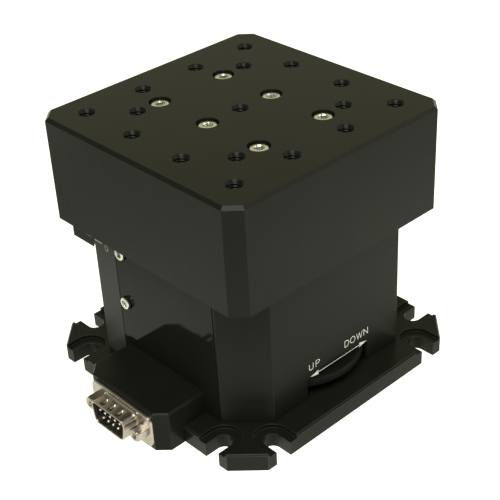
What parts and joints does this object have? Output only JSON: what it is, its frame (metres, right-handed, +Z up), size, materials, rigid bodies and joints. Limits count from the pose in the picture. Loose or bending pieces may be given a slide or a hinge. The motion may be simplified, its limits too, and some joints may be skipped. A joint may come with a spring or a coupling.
{
  "type": "vertical stage",
  "caption": "Motorised vertical lift stage: square platform with threaded hole grid on a cut-corner housing, slotted base, thumbwheel and multi-pin connector.",
  "frame": {"origin": "centre of the base plate's underside, on the bench", "axes": "+Z up along the lift, -Y out of the connector face, +X out of the thumbwheel face"},
  "size_m": [0.1108, 0.128, 0.101],
  "materials": {
    "black_anodised": "satin black anodised",
    "plain_aluminium": "machined",
    "stainless_screws": "bright turned",
    "dark_screws": "blackened",
    "ground_steel": "ground",
    "nickel": "nickel plated, satin",
    "gilt_pins": "gold flashed",
    "connector_plastic": "moulded, dark blue-black",
    "motor_paint": "satin black",
    "motor_steel": "laminated steel",
    "bronze": "turned"
  },
  "bodies": {
    "frame": {"base_plate": "black_anodised", "housing": "black_anodised", "housing_screws": "dark_screws", "front_cover": "black_anodised", "cover_screws": "stainless_screws", "connector_box": "black_anodised", "box_screws": "dark_screws", "connector_shell": "nickel", "connector_insulator": "connector_plastic", "connector_pins": "gilt_pins", "connector_jackscrews": "nickel", "guide_frame": "plain_aluminium", "guide_screws": "dark_screws", "fixed_rail_front": "ground_steel", "fixed_rail_rear": "ground_steel", "fixed_rail_screws": "stainless_screws", "motor_bracket": "plain_aluminium", "bracket_screws": "dark_screws", "motor_front_cap": "motor_paint", "motor_stator": "motor_steel", "motor_rear_cap": "motor_paint", "motor_bearings": "ground_steel", "motor_screws": "stainless_screws", "screw_bearing": "ground_steel", "limit_sensors": "connector_plastic", "sensor_screws": "stainless_screws"},
    "lift": {"platform_cap": "black_anodised", "platform_screws": "stainless_screws", "carriage": "plain_aluminium", "moving_rail_front": "ground_steel", "moving_rail_rear": "ground_steel", "moving_rail_screws": "stainless_screws", "lead_nut": "bronze", "nut_screws": "stainless_screws", "index_block": "black_anodised", "index_screw": "stainless_screws", "limit_flag": "plain_aluminium", "flag_screws": "stainless_screws"},
    "spindle": {"lead_screw": "ground_steel", "thumbwheel": "black_anodised", "wheel_set_screw": "dark_screws", "motor_rotor": "motor_steel"},
    "cages": {"front_cage": "bronze", "rear_cage": "bronze", "front_rollers": "ground_steel", "rear_rollers": "ground_steel"}
  },
  "joints": [
    {"name": "platform_lift", "type": "slide", "parent": "frame", "child": "lift", "axis": [0, 0, 1], "range_m": [0, 0.025]},
    {"name": "spindle_turn", "type": "hinge", "parent": "frame", "child": "spindle", "pos_m": [0.0234, 0, 0.013], "axis": [0, 0, -1], "range_deg": [0, 9000]},
    {"name": "cage_shift", "type": "slide", "parent": "frame", "child": "cages", "axis": [0, 0, 1], "range_m": [0, 0.0125]}
  ],
  "couplings": [
    {"joint": "spindle_turn", "follows": "platform_lift", "rad_per_m": 6283.2},
    {"joint": "cage_shift", "follows": "platform_lift", "ratio": 0.5}
  ]
}
